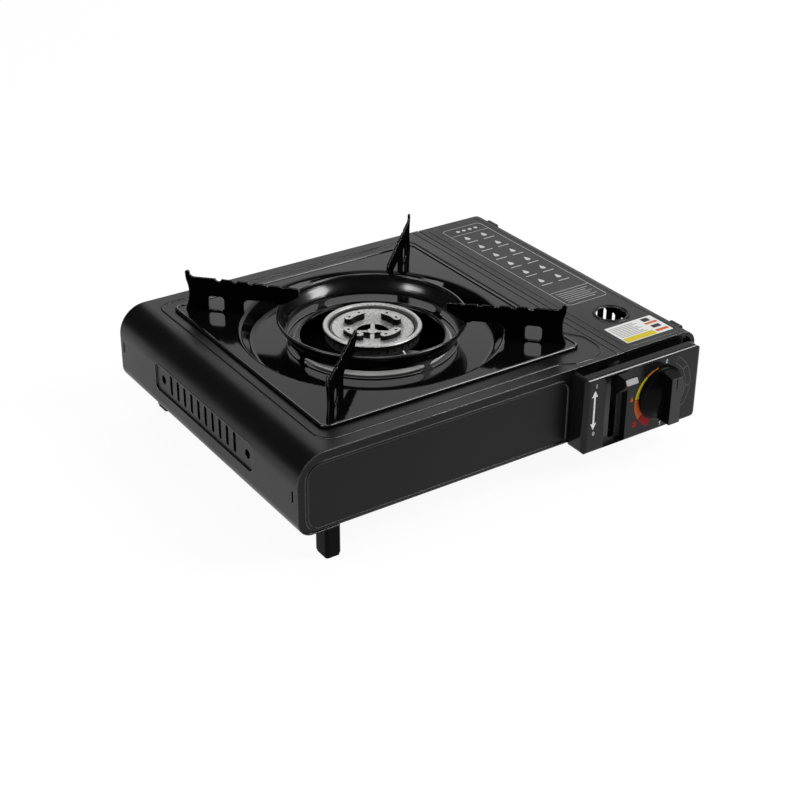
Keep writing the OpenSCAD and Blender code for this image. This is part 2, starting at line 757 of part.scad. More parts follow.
module lever_bracket() color("#a4a6a9") placed() {
    for (x = bracket_x) difference() {
        along_x(x, x + 1.2) {
            translate([pivot_y - 9, base_top]) square([18, pivot_z - base_top]);
            translate([pivot_y, pivot_z]) circle(9);
        }
        rod([x - 1, pivot_y, pivot_z], [x + 3, pivot_y, pivot_z], 2.5 + run_gap);
    }
    box_at([bracket_x[0], pivot_y - 9, base_top], [bracket_x[1] + 1.2, pivot_y + 9, base_top + 1.2]);
}

// Turns about the lever's pivot so that 0 lies along the lever at rest
module lever_turned() {
    translate([0, pivot_y, pivot_z]) rotate([-lever_rest, 0, 0]) children();
}

handle_start = 48;
handle_end = 62.6;
bar_end = handle_start + 9;

module lock_lever() color("#3b3c3f") placed() lever_turned() {
    difference() {
        union() {
            along_x(slot_x - lever_t / 2, slot_x + lever_t / 2) {
                circle(7);
                translate([-bar_end, -bar_half]) square([bar_end, 2 * bar_half]);
            }
        }
        rod([slot_x - 5, 0, 0], [slot_x + 5, 0, 0], 2.5);
    }
}

module lever_shaft() color("#b7b9bc") placed() lever_turned() {
    rod([bracket_x[0] - 1, 0, 0], [slot_x + 6.5, 0, 0], 2.5);
    difference() {
        along_x(slot_x + 4.5, slot_x + 6.5) {
            circle(5.5);
            translate([-3.5, 0]) square([7, crank_r]);
            translate([0, crank_r]) circle(3.5);
        }
        rod([slot_x + 4, 0, 0], [slot_x + 7, 0, 0], 2.5 - 0.2);
    }
    rod([slot_x + 6, 0, crank_r], [slot_x + 10, 0, crank_r], 2);
}

// A wedge, deeper below than above, whose root runs in the channel on an arc about the pivot
module lever_handle() color("#151516") placed() lever_turned() difference() {
    intersection() {
        along_x(slot_x - 6, slot_x + 6) polygon([[-handle_start + 3, -8.2], [-handle_start + 3, 4.6],
            [-handle_start - 4, 4.8], [-handle_start - 8, 6.4], [-handle_end, 2.8], [-handle_end, -2.8],
            [-handle_start - 4, -7.4]]);
        along_x(slot_x - 7, slot_x + 7) difference() {
            translate([-handle_end - 1, -9]) square([30, 18]);
            circle(handle_start);
        }
    }
    along_x(slot_x - lever_t / 2 - run_gap, slot_x + lever_t / 2 + run_gap)
        translate([-bar_end - run_gap, -bar_half - run_gap]) square([15, 2 * (bar_half + run_gap)]);
}

slide_z = base_top + 0.3;
slide_t = 1.2;
rail_x = [part_x + 1.2, can_x - 26];
arm_x = slot_x + 7.8;
pin_y = pivot_y + crank_r * sin(lever_rest);
pin_z = pivot_z + crank_r * cos(lever_rest);
pin_lift = crank_r * (1 - cos(lever_rest));
pin_slot = 4.6;
pad_y = seat_y + collar_gap + can_len;

module push_slide() color("#aeb0b3") placed() difference() {
    union() {
        box_at([rail_x[0], 14, slide_z], [rail_x[1], pad_y + 6, slide_z + slide_t]);
        box_at([arm_x, 24, slide_z], [rail_x[1], 44, slide_z + slide_t]);
        along_x(arm_x, arm_x + 1.2) translate([pin_y - 7, slide_z]) rounded(14, pin_z + 5.6 - slide_z, 3);
        along_y(pad_y + 3, pad_y + 4.2) translate([rail_x[0], slide_z]) square([rail_x[1] - rail_x[0], 14]);
        along_y(pad_y + 3, pad_y + 4.2) difference() {
            translate([can_x, can_z]) circle(can_r - 4);
            translate([0, can_z + 16]) square([body_w, 40]);
        }
        along_y(pad_y + 3, pad_y + 4.2) translate([rail_x[0], slide_z + 8]) square([20, 14]);
    }
    along_x(arm_x - 1, arm_x + 3) translate([pin_y - pin_slot / 2, pin_z - pin_slot / 2])
        rounded(pin_slot, pin_slot + pin_lift, pin_slot / 2 - e);
}

module push_pad() color("#1f1f20") placed() along_y(pad_y, pad_y + 3) translate([can_x, can_z]) circle(16);

guide_ys = [70, 190];

module slide_guides() color("#97999c") placed() for (y = guide_ys) {
    top = slide_z + slide_t + 0.4;
    box_at([part_x + run_gap, y, top], [rail_x[1] + 0.3, y + 8, top + 1]);
    box_at([part_x + run_gap, y, base_top], [part_x + 0.8, y + 8, top + 1]);
}

// Screws through the base: two into the shell's flange, two into the partition's foot
screw_r = 1.6;
base_screw_spots = [[26, 60, floor_h], [26, body_d - 60, floor_h],
    [part_x - 5, 75, base_z], [part_x - 5, body_d - 45, base_z]];

module screw_holes() {
    for (p = base_screw_spots) translate([p[0], p[1], floor_h - 2]) cylinder(r = screw_r + run_gap, h = 8);
}

module base_screws() color("#b8babd") placed() for (p = base_screw_spots) translate(p) {
    cylinder(r = screw_r, h = 5);
    translate([0, 0, -1.2]) cylinder(r = 2 * screw_r, h = 1.2);
}

module valve_screws() color("#b8babd") placed() for (x = [5, block[0] - 5])
    translate([valve_x + x, bay_wall_y, can_z - 10]) rotate([90, 0, 0]) cylinder(r = 3, h = 1.6);

// Knob with a skirt and a grip bar, pointer up when off

skirt_z = box_out + 0.6;
dome_z = box_out + 4.2;
dome_r = 18.2;
dome_h = 5.5;
grip_half = 4.8;
grip_r = knob_r - 0.4;
grip_slope = 12;

// Outline of the grip: a straight left side, the right one waisted below the pointer
module grip_outline() {
    intersection() {
        circle(grip_r);
        polygon([[-grip_half, 2 - grip_r], [grip_half + 0.6, 2 - grip_r], [grip_half - 0.3, -3],
            [grip_half + 0.9, 6], [grip_half + 0.9, 12], [grip_half, knob_r], [-grip_half, knob_r]]);
    }
}

module knob() color("#1a1a1c") placed() translate([knob_x, 0, knob_z]) rotate([90, 0, 0]) difference() {
    // radius of the ball whose cap makes the dome
    ball_r = (dome_r * dome_r + dome_h * dome_h) / (2 * dome_h);
    union() {
        rotate_extrude($fn = 96) polygon([[0, skirt_z], [knob_r, skirt_z], [knob_r, skirt_z + 1.8],
            [knob_r - 1.2, skirt_z + 2.8], [dome_r + 0.4, dome_z], [0, dome_z]]);
        intersection() {
            translate([0, 0, dome_z + dome_h - ball_r]) sphere(ball_r);
            translate([0, 0, dome_z - 0.5]) cylinder(r = dome_r, h = dome_h + 1);
        }
        difference() {
            translate([0, 0, dome_z - 0.5]) linear_extrude(knob_reach - dome_z + 0.5) grip_outline();
            // sloping end above the pointer
            translate([-10, grip_r, dome_z + 1]) rotate([grip_slope, 0, 0]) cube([20, 8, 14]);
        }
    }
    translate([0, 0, box_out]) cylinder(r = spindle_r, h = 9);
    // pointer notch
    translate([-0.5, 9.5, knob_reach - 0.6]) cube([1, 9, 1]);
}

module knob_spindle() color("#c6a455") placed()
    rod([knob_x, -box_out - 8.5, knob_z], [knob_x, 18, knob_z], spindle_r);

// Lid over the canister bay

lid_hole = [can_x - 0.3, 54.8];
lid_hole_r = 11.7;
lid_field = [lid_x + 6, body_w - lid_edge_r - 0.5];
lid_field_in = 5.2;
lid_flange = 3;
lid_low = hinge_z - 2;

// Section of the lid moved inwards by d, open at the left and below
module lid_outline(d) {
    intersection() {
        union() {
            translate([body_w - lid_edge_r, deck_h - lid_edge_r]) circle(lid_edge_r - d);
            translate([lid_x, lid_low]) square([lid_w - lid_edge_r, deck_h - d - lid_low]);
            translate([body_w - lid_edge_r - e, lid_low])
                square([lid_edge_r - d + e, deck_h - lid_edge_r - lid_low]);
        }
        translate([0, lid_low]) square([body_w + 1, deck_h]);
    }
}

module lid_band(d) {
    difference() {
        lid_outline(0);
        translate([-e, -e]) lid_outline(d);
        translate([lid_x - 1, 0]) square([lid_w - lid_edge_r, deck_h - d]);
    }
}

module lid_sheet() {
    y0 = lid_end_gap;
    y1 = body_d - lid_end_gap;
    rear_flange = body_d - plate_y - 2 * sheet - 0.4;
    along_y(y0, y1) lid_band(sheet);
    // edge turned down along the groove
    box_at([lid_x, y0, deck_h - 2.6], [lid_x + sheet, rear_flange, deck_h - e]);
    // narrow flanges at the ends
    for (y = [y0, rear_flange]) along_y(y, y + sheet) lid_band(lid_flange);
}

module lid() color("#2a2b2e") placed() {
    difference() {
        union() {
            lid_sheet();
            translate([lid_hole[0], lid_hole[1], deck_h]) rotate_extrude($fn = 96)
                translate([lid_hole_r + 1.7, 0]) circle(1.1, $fn = 24);
            translate([(lid_field[0] + lid_field[1]) / 2, body_d / 2, deck_h - 0.2])
                bead_loop(lid_field[1] - lid_field[0], body_d - 2 * lid_field_in, [4, 4, 4, 4], 0.6);
        }
        translate([lid_hole[0], lid_hole[1], deck_h - 5]) cylinder(r = lid_hole_r, h = 8);
        for (y = hinge_ys) box_at([lid_in - 3, y - 3.5, 0], [body_w + 1, y + 3.5, hinge_z + 4]);
    }
    // humps over the hinges
    for (y = hinge_ys) along_y(y - 5, y + 5) difference() {
        translate([body_w - 6.4, deck_h - 3.2]) circle(3.2);
        lid_outline(0.3);
    }
    // ears that hold the hinge pins
    for (y = hinge_ys, s = [-1, 1]) along_y(y + s * 3.2 - 0.5, y + s * 3.2 + 0.5) difference() {
        union() {
            translate([hinge_x, hinge_z]) circle(2.6);
            intersection() {
                translate([hinge_x - 2.6, hinge_z]) square([3.6, lid_edge_r]);
                lid_outline(sheet - 0.3);
            }
        }
        translate([hinge_x, hinge_z]) circle(pin_r + run_gap);
    }
}

module lid_pins() color("#b5b7ba") placed() for (y = hinge_ys)
    rod([hinge_x, y - 4.4, hinge_z], [hinge_x, y + 4.4, hinge_z], pin_r);

module hinge_lugs() color("#a1a3a6") placed() for (y = hinge_ys) along_y(y - 1.5, y + 1.5) difference() {
    union() {
        translate([hinge_x, hinge_z]) circle(2.6);
        translate([hinge_x - 2.6, wall_top - 10]) square([wall_in - hinge_x + 2.6, hinge_z - wall_top + 10]);
    }
    translate([hinge_x, hinge_z]) circle(pin_r + run_gap);
    translate([wall_in, wall_top - 12]) square([5, 20]);
}

// Drip tray, wind ring and arms

tray_top = deck_h + 1.6;
trough_z = deck_h - 9;
trough_path = concat(
    [[trough_r + 1, tray_top]],
    arc([trough_r, tray_top - 5], 5, 90, 135),
    arc([trough_r - 12.6, trough_z + 5], 5, 315, 270),
    [[lip_r + 7, trough_z]],
    arc([lip_r + 7, trough_z + 4], 4, 270, 225),
    arc([lip_r + 1.2, trough_z + 3.8], 1.2, 45, 170));

module drip_tray() color("#101011") placed() at_tray() {
    translate([0, 0, tray_top - sheet]) linear_extrude(sheet) difference() {
        rounded_mid(tray_w, tray_w, 6);
        circle(trough_r + 0.5, $fn = 96);
    }
    translate([0, 0, tray_top - 0.3]) bead_loop(tray_w - 2.6, tray_w - 2.6, [5, 5, 5, 5], 1.3);
    rotate_extrude($fn = 96) polygon(sheet_section(trough_path, [0, -sheet]));
}

ring_top = deck_h + ring_rise;
ring_flare = 6.2;
ring_bend = trough_z + 7;
window_turn = 80;
window_at = 5;
window_sill = 0.8;
window_h = 6;

function ring_path() = concat([[ring_r, trough_z]], [for (i = [0:10]) let (t = i / 10)
    [ring_r + ring_flare * t * t * (3 - 2 * t), ring_bend + (ring_top - 1.2 - ring_bend) * t]]);

module ring_window(a) {
    mid_z = trough_z + window_sill + window_h / 2;
    rotate(a) rotate_extrude(angle = window_turn) translate([ring_r - 2, mid_z - window_h / 2])
        square([5, window_h]);
    for (b = [a - 0.6, a + window_turn + 0.6]) rotate(b)
        rod([ring_r - 3, 0, mid_z], [ring_r + 4, 0, mid_z], window_h / 2 - 0.6);
}

module wind_ring() color("#131314") placed() at_tray() {
    rotate(window_at) difference() {
        rotate_extrude($fn = 96) polygon(sheet_section(ring_path(), [sheet, 0]));
        for (a = [0:90:270]) ring_window(a + (90 - window_turn) / 2);
    }
    translate([0, 0, ring_top - 1.2]) rotate_extrude($fn = 96)
        translate([ring_r + ring_flare + 0.4, 0]) circle(1.2, $fn = 24);
}

rest_z = deck_h + support_rise;
arm_tip = ring_r - 8.5;
arm_out = tray_w / sqrt(2) - 11.27;
notch_pitch = 12.6;

// Side view of an arm: x outwards from the ring's middle, y upwards
module arm_outline() {
    neck = ring_top + 0.05;
    difference() {
        polygon(concat([[arm_tip, rest_z - 4], [arm_tip + 0.4, rest_z - 8.5], [arm_tip + 10, neck + 1.8],
            [arm_tip + 13.5, neck], [arm_tip + 18, neck], [arm_tip + 20, neck + 1.4]],
            arc([arm_out - 50.5, neck - 3.6], 5, 90, 0),
            [[arm_out - 45.5, tray_top + 2.5], [arm_out - 45.9, tray_top], [arm_out, tray_top]],
            arc([arm_out + 24.4, tray_top + 14.6], 27.6, 202, 158),
            arc([arm_out - 2.4, rest_z + 3.2], 1.9, 20, 160),
            arc([arm_out - 8, rest_z + 4.4], 4.4, 330, 270),
            [[arm_out - 26, rest_z], [arm_tip + 3, rest_z - 2.2], [arm_tip + 1, rest_z - 2.8]]));
        translate([arm_out - 30.5, tray_top + 1]) rounded(12.5, 11.8, 3);
        for (i = [0:4]) translate([arm_tip + 12.5 + i * notch_pitch, rest_z - 0.2 + 0.15 * i])
            circle(2.4, $fn = 24);
    }
}

module arm(a) {
    at_tray() rotate(a) translate([0, arm_t / 2, 0]) rotate([90, 0, 0]) linear_extrude(arm_t) arm_outline();
}

module arm_front_left() color("#141415") placed() arm(225);
module arm_rear_left() color("#141415") placed() arm(135);
module arm_front_right() color("#141415") placed() arm(-45);
module arm_rear_right() color("#141415") placed() arm(45);

body_shell();
base_plate();
right_wall();
front_plate();
rear_plate();
partition();
bay_front_wall();
control_box();
foot_front_left();
foot_rear_left();
foot_front_right();
foot_rear_right();
hinge_lugs();
burner_bracket();
mixing_tube();
burner_head();
burner_cap();
gas_jet();
gas_pipe();
pipe_nut();
valve_body();
diaphragm_cover();
gas_inlet();
inlet_seal();
piezo_body();
igniter_plunger();
electrode_insulator();
electrode_pin();
electrode_bracket();
ignition_lead();
lever_bracket();
slide_guides();
base_screws();
valve_screws();
knob();
knob_spindle();
igniter_cam();
lock_lever();
lever_shaft();
lever_handle();
push_slide();
push_pad();
lid();
lid_pins();
drip_tray();
wind_ring();
arm_front_left();
arm_rear_left();
arm_front_right();
arm_rear_right();
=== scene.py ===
"""Butane cassette stove: finishes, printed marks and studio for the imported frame."""

import math

import bmesh
import bpy
import numpy as np
from mathutils import Matrix, Vector


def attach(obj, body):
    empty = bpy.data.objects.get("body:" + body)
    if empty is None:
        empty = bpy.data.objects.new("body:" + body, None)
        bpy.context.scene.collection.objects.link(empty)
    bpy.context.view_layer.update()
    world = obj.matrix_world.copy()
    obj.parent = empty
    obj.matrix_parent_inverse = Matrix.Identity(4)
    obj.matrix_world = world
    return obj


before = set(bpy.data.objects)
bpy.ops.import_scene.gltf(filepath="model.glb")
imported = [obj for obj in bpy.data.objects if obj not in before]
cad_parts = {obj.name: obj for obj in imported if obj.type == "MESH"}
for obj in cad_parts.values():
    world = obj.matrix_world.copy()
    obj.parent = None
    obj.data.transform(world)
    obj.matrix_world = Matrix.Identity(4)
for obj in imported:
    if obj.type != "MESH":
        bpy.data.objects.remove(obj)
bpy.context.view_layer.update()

MM = 0.001
# the row's origin in the stove's own frame: x from the left side, y from the front plate
ORIGIN = np.array([174.0, 116.75, 0.0])

# places on the stove, in its own millimetres
LID_TOP = 88.0
PANEL_FRONT = -17.0
BURNER_AXIS = np.array([145.0, 133.75, 0.0])
KNOB_AXIS = np.array([300.3, 56.0])         # x and z on the control panel
LEVER_X = 259.6
LEVER_PIVOT = np.array([28.0, 57.0])        # y and z
LEVER_REST = math.radians(24)
PRINT_THICK = 0.12


def place(points):
    """Stove millimetres to row metres: subtract the origin and divide by a thousand."""
    return (np.asarray(points, float) - ORIGIN) * MM


# ---------------------------------------------------------------- shader nodes

RISE, FALL = (0, 1), (1, 0)
NOISE_SPAN = (0.3, 0.7)         # where most values of a noise lie


def add_node(tree, kind, **inputs):
    """A new node with the given values on its inputs."""
    made = tree.nodes.new(kind)
    for key, value in inputs.items():
        made.inputs[key].default_value = value
    return made


def join_values(tree, operation, first, second):
    """Two values put together by a math operation; the second may be a plain number."""
    made = add_node(tree, "ShaderNodeMath")
    made.operation = operation
    tree.links.new(first, made.inputs[0])
    if isinstance(second, float):
        made.inputs[1].default_value = second
    else:
        tree.links.new(second, made.inputs[1])
    return made.outputs[0]


def mix_shaders(tree, share, first, second, into):
    """The first shader where share is 0 and the second where it is 1, linked to the given input."""
    mix = add_node(tree, "ShaderNodeMixShader")
    for index, out in enumerate((share, first, second)):
        tree.links.new(out, mix.inputs[index])
    tree.links.new(mix.outputs[0], into)


class Finish:
    """A node material under construction: a Principled shader read through Object coordinates.

    Its masks and other ramps run between two ends as a value crosses a span.
    """

    def __init__(self, name, colour, roughness, metallic=0.0, ior=1.5):
        self.material = bpy.data.materials.new(name)
        self.material.use_nodes = True
        self.tree = self.material.node_tree
        self.shader = self.tree.nodes["Principled BSDF"]
        self.set("Base Color", (*colour, 1.0))
        self.set("Roughness", roughness)
        self.set("Metallic", metallic)
        self.set("IOR", ior)
        self.material.diffuse_color = (*colour, 1.0)
        self.where = self.node("ShaderNodeTexCoord").outputs["Object"]
        self.normal = None

    def node(self, kind, **inputs):
        """A new node in this material, with the given values on its inputs."""
        return add_node(self.tree, kind, **inputs)

    def link(self, out, into):
        """A wire from a node's output to an input."""
        self.tree.links.new(out, into)

    def set(self, socket, value):
        """A plain value on one of the shader's inputs."""
        self.shader.inputs[socket].default_value = value

    def drive(self, socket, out):
        """One of the shader's inputs, driven by a node's output."""
        self.link(out, self.shader.inputs[socket])

    def roughen(self, value, low, high, span=NOISE_SPAN):
        """Roughness that runs from low to high as value crosses the span."""
        self.drive("Roughness", self.ramp(value, span, (low, high)))

    def noise(self, per_metre, detail, rough=0.5, stretch=None):
        """Fractal noise of so many lumps per metre, its space squeezed by stretch along each axis."""
        tex = self.node("ShaderNodeTexNoise", Scale=per_metre, Detail=detail, Roughness=rough)
        where = self.where
        if stretch:
            bend = self.node("ShaderNodeMapping", Scale=stretch)
            self.link(where, bend.inputs["Vector"])
            where = bend.outputs["Vector"]
        self.link(where, tex.inputs["Vector"])
        return tex.outputs["Fac"]

    def cells(self, per_metre):
        """Distance to the nearest of scattered points, so many of them per metre."""
        tex = self.node("ShaderNodeTexVoronoi", Scale=per_metre)
        self.link(self.where, tex.inputs["Vector"])
        return tex.outputs["Distance"]

    def ramp(self, value, span, ends):
        """Straight line from ends[0] at span[0] to ends[1] at span[1], level outside."""
        made = self.node("ShaderNodeMapRange", **{"From Min": span[0], "From Max": span[1],
                                                  "To Min": ends[0], "To Max": ends[1]})
        self.link(value, made.inputs["Value"])
        return made.outputs["Result"]

    def blend(self, value, first, second):
        """Colour from first to second as value runs from 0 to 1; the second may be a node's output."""
        made = self.node("ShaderNodeMix")
        made.data_type = "RGBA"
        made.inputs["A"].default_value = (*first, 1.0)
        if isinstance(second, bpy.types.NodeSocket):
            self.link(second, made.inputs["B"])
        else:
            made.inputs["B"].default_value = (*second, 1.0)
        self.link(value, made.inputs["Factor"])
        return made.outputs["Result"]

    def both(self, first, second):
        """The product of two values: high only where both masks are."""
        return join_values(self.tree, "MULTIPLY", first, second)

    def either(self, first, second):
        """The larger of two values: high where one of the masks is."""
        return join_values(self.tree, "MAXIMUM", first, second)

    def vector(self, operation, first, second=None):
        """A vector operation on an output and on an output or a plain vector."""
        made = self.node("ShaderNodeVectorMath")
        made.operation = operation
        self.link(first, made.inputs[0])
        if isinstance(second, bpy.types.NodeSocket):
            self.link(second, made.inputs[1])
        elif second is not None:
            made.inputs[1].default_value = second
        return made.outputs

    def part(self, vector, axis):
        """One axis of a vector."""
        apart = self.node("ShaderNodeSeparateXYZ")
        self.link(vector, apart.inputs[0])
        return apart.outputs[axis]

    def flat_normal(self):
        """The sheet's own direction, without softening or emboss."""
        return self.node("ShaderNodeNewGeometry").outputs["True Normal"]

    def facing(self, axis, span, ends):
        """Ramp by how much the surface faces along an axis: 1 fully, -1 the other way."""
        return self.ramp(self.part(self.flat_normal(), axis), span, ends)

    def height(self, axis, span, ends):
        """Ramp by the place along an axis, in the stove's own millimetres."""
        shift = ORIGIN["XYZ".index(axis)]
        return self.ramp(self.part(self.where, axis), [(at - shift) * MM for at in span], ends)

    def reach(self, span, ends):
        """Ramp by the distance from the burner's axis in millimetres: the length of (x, y) from it."""
        apart = self.vector("SUBTRACT", self.where, place(BURNER_AXIS))[0]
        level = self.vector("MULTIPLY", apart, (1, 1, 0))[0]
        distance = self.vector("LENGTH", level)["Value"]
        return self.ramp(distance, [at * MM for at in span], ends)

    def edge(self, on_face, on_edge):
        """One value on open faces and another where the softened edge turns away from the sheet."""
        turned, straight = 0.90, 0.995
        cosine = self.vector("DOT_PRODUCT", self.normal, self.flat_normal())["Value"]
        return self.ramp(cosine, (turned, straight), (on_edge, on_face))

    def soften_edges(self, radius_mm):
        """Rounds the shading of sharp sheet edges by the given radius."""
        made = self.node("ShaderNodeBevel", Radius=radius_mm * MM)
        made.samples = 4
        self.normal = made.outputs["Normal"]
        self.drive("Normal", self.normal)

    def emboss(self, value, depth_mm, strength):
        """Height given by value, of the given depth in millimetres, on top of what is there."""
        made = self.node("ShaderNodeBump", Strength=strength, Distance=depth_mm * MM)
        self.link(value, made.inputs["Height"])
        if self.normal is not None:
            self.link(self.normal, made.inputs["Normal"])
        self.normal = made.outputs["Normal"]
        self.drive("Normal", self.normal)


# ---------------------------------------------------------------- kinds of finish


def baked_enamel(name, tone, rough, ior, dress=None):
    """Sprayed dark grey enamel on sheet steel: soft orange peel, fine grit and cloudy gloss."""
    edge_ior = 2.6
    f = Finish(name, (tone, tone, tone * 1.01), rough, ior=ior)
    f.soften_edges(0.5)
    f.drive("IOR", f.edge(ior, edge_ior))
    f.emboss(f.noise(per_metre=420, detail=3), depth_mm=0.010, strength=0.6)
    f.emboss(f.noise(per_metre=3200, detail=2), depth_mm=0.006, strength=0.5)
    f.roughen(f.noise(per_metre=16, detail=4), rough - 0.05, rough + 0.06)
    dark, pale = (tone * 0.8,) * 3, (tone * 1.35, tone * 1.34, tone * 1.32)
    f.drive("Base Color", f.blend(f.noise(per_metre=2600, detail=2), dark, pale))
    if dress:
        dress(f)
    return f.material


def vitreous_enamel(name, tone, rough, ior, sheen=0.5, dress=None):
    """Fired black enamel: deep gloss with slow ripples and a few pinholes."""
    edge_sheen = 0.9
    f = Finish(name, (tone,) * 3, rough, ior=ior)
    f.soften_edges(0.5)
    f.drive("Specular IOR Level", f.edge(sheen, edge_sheen))
    if dress:
        dress(f)
    f.emboss(f.noise(per_metre=46, detail=2), depth_mm=0.035, strength=0.35)
    f.emboss(f.ramp(f.cells(per_metre=900), (0, 0.25), FALL), depth_mm=0.01, strength=0.25)
    f.roughen(f.noise(per_metre=24, detail=3), rough * 0.7, rough * 1.7)
    return f.material


def galvanised_sheet(name):
    """Zinc coated steel: faint crystal spangle and dull rolling streaks."""
    tone, rough = 0.62, 0.38
    f = Finish(name, (tone,) * 3, rough, metallic=1.0)
    f.soften_edges(0.3)
    spangle = f.cells(per_metre=260)
    f.roughen(spangle, rough - 0.1, rough + 0.14, span=(0, 0.8))
    dark, pale = (tone * 0.86, tone * 0.87, tone * 0.89), (tone, tone, tone * 1.01)
    f.drive("Base Color", f.blend(spangle, dark, pale))
    f.emboss(f.noise(per_metre=700, detail=2, stretch=(1, 0.06, 1)), depth_mm=0.01, strength=0.5)
    return f.material


def cast_burner_face(name):
    """Bead blasted die casting: metal on tops and rim; painted shade on side walls, groove and hollows.
    """
    # the first colour is painted shade: near black on every face that doesn't face up, and in the groove
    painted_shade, pit, crest = (0.006, 0.006, 0.006), (0.16, 0.16, 0.158), (0.74, 0.74, 0.73)
    groove_inner, groove_outer = (31.0, 31.3), (32.5, 32.8)
    f = Finish(name, (0.62, 0.62, 0.61), 0.42, metallic=0.85)
    f.soften_edges(0.3)
    grit = f.noise(per_metre=1150, detail=4, rough=0.75)
    f.emboss(grit, depth_mm=0.10, strength=0.8)
    f.roughen(grit, 0.34, 0.56)
    # mask of the up-facing faces inside the groove and on the rim, which keep the metal; all else gets
    # the painted shade
    inside = f.both(f.facing("Z", (0.35, 0.7), RISE), f.reach(groove_inner, (1, 0.02)))
    rim = f.both(f.facing("Z", (0.2, 0.5), RISE), f.reach(groove_outer, RISE))
    lit_mask = f.either(inside, rim)
    f.drive("Metallic", f.ramp(lit_mask, (0, 1), (0, 0.85)))
    f.drive("Specular IOR Level", f.ramp(lit_mask, (0, 1), (0.08, 0.5)))
    metal = f.blend(f.ramp(grit, (0.38, 0.62), RISE), pit, crest)
    f.drive("Base Color", f.blend(lit_mask, painted_shade, metal))
    return f.material


def burner_black(name):
    """Heat resistant black on cast iron: pebbled and dull."""
    dark, pale = (0.013, 0.013, 0.013), (0.026, 0.025, 0.024)
    f = Finish(name, (0.018, 0.018, 0.018), 0.55)
    f.soften_edges(0.3)
    pits = f.noise(per_metre=900, detail=4, rough=0.6)
    f.emboss(pits, depth_mm=0.10, strength=0.7)
    f.roughen(pits, 0.42, 0.68)
    f.drive("Base Color", f.blend(f.noise(per_metre=60, detail=4), dark, pale))
    return f.material


def turned_metal(name, colour, rough=0.25):
    """Turned or drawn metal: fine tool lines and a little tarnish."""
    dark = tuple(c * 0.8 for c in colour)
    f = Finish(name, colour, rough, metallic=1.0)
    f.soften_edges(0.25)
    f.emboss(f.noise(per_metre=1800, detail=1, stretch=(1, 0.05, 1)), depth_mm=0.012, strength=0.5)
    stain = f.noise(per_metre=120, detail=4)
    f.roughen(stain, rough - 0.06, rough + 0.15)
    f.drive("Base Color", f.blend(f.ramp(stain, NOISE_SPAN, RISE), dark, colour))
    return f.material


def moulded_plastic(name, colour, rough, grain_mm=0.02, ior=1.46, dress=None):
    """Injection moulded plastic: spark eroded grain and slightly uneven gloss."""
    f = Finish(name, colour, rough, ior=ior)
    f.soften_edges(0.45)
    f.emboss(f.noise(per_metre=1500, detail=3), depth_mm=grain_mm, strength=0.6)
    f.roughen(f.noise(per_metre=40, detail=3), rough - 0.05, rough + 0.07)
    if dress:
        dress(f)
    return f.material


def soft_rubber(name, colour=(0.018, 0.018, 0.019)):
    """Moulded rubber: powdery surface with fine pores."""
    dark, pale = tuple(c * 0.8 for c in colour), tuple(c * 1.5 for c in colour)
    f = Finish(name, colour, 0.78)
    f.soften_edges(0.4)
    f.emboss(f.noise(per_metre=1100, detail=3), depth_mm=0.03, strength=0.6)
    f.drive("Base Color", f.blend(f.noise(per_metre=90, detail=4), dark, pale))
    return f.material


def fired_ceramic(name):
    """Glazed ceramic sleeve: ivory with faint specks."""
    dark, pale = (0.66, 0.64, 0.58), (0.78, 0.76, 0.70)
    f = Finish(name, (0.72, 0.70, 0.64), 0.22)
    specks = f.ramp(f.noise(per_metre=800, detail=3), NOISE_SPAN, RISE)
    f.drive("Base Color", f.blend(specks, dark, pale))
    f.emboss(f.noise(per_metre=300, detail=2), depth_mm=0.01, strength=0.4)
    return f.material


def screen_ink(name, colour, rough=0.5):
    """Screen printed ink: flat, a little uneven in cover."""
    thin, thick = tuple(c * 0.82 for c in colour), tuple(min(1, c * 1.08) for c in colour)
    f = Finish(name, colour, rough, ior=1.25)
    f.drive("Base Color", f.blend(f.noise(per_metre=2400, detail=2), thin, thick))
    f.emboss(f.noise(per_metre=2000, detail=2), depth_mm=0.008, strength=0.5)
    return f.material


# ---------------------------------------------------------------- the stove's finishes

TRAY_TONE, TRAY_IOR = 0.0025, 1.25
CASING_COLOUR, CASING_IOR = (0.009, 0.009, 0.0092), 1.29


def paint_lip_highlight(f):
    """Painted highlight on the lip's outward slope round the burner opening, and a glossier rolled bead.

    The slope lies between two radii, above the trough's floor, and doesn't face straight up.
    """
    lip_inner, lip_outer = (55.3, 55.9), (60.6, 61.2)
    trough_floor, bead_foot = (79.04, 79.12), (89.7, 90.0)
    # steel is the pale grey of the painted highlight on the slope
    bead_ior, steel = 1.65, (0.55, 0.55, 0.54)
    slope = f.both(f.facing("Z", (0.86, 0.97), FALL), f.height("Z", trough_floor, RISE))
    # mask of the slope that gets the painted highlight
    lit_mask = f.both(slope, f.both(f.reach(lip_inner, RISE), f.reach(lip_outer, FALL)))
    f.drive("Base Color", f.blend(lit_mask, (TRAY_TONE,) * 3, steel))
    f.drive("IOR", f.height("Z", bead_foot, (TRAY_IOR, bead_ior)))


def dress_casing(f):
    """Dull grain on the upper ledge, polish on the lip's rounding, painted light on the channel's floor.
    """
    rounding_ior, channel_floor, pale = 1.62, (-14.0, -12.5), (0.045, 0.045, 0.045)
    f.drive("Specular IOR Level", f.facing("Z", (0.8, 0.97), (0.5, 0.12)))
    gloss = f.facing("Z", (0.15, 0.4), (CASING_IOR, rounding_ior))
    f.drive("IOR", f.both(gloss, f.facing("Z", (0.85, 0.97), (1, 0.8))))
    # painted light: the channel's floor gets a paler colour in place of the light it reflects
    floor = f.both(f.facing("Y", (-0.95, -0.8), FALL), f.height("Y", channel_floor, RISE))
    f.drive("Base Color", f.blend(floor, CASING_COLOUR, pale))


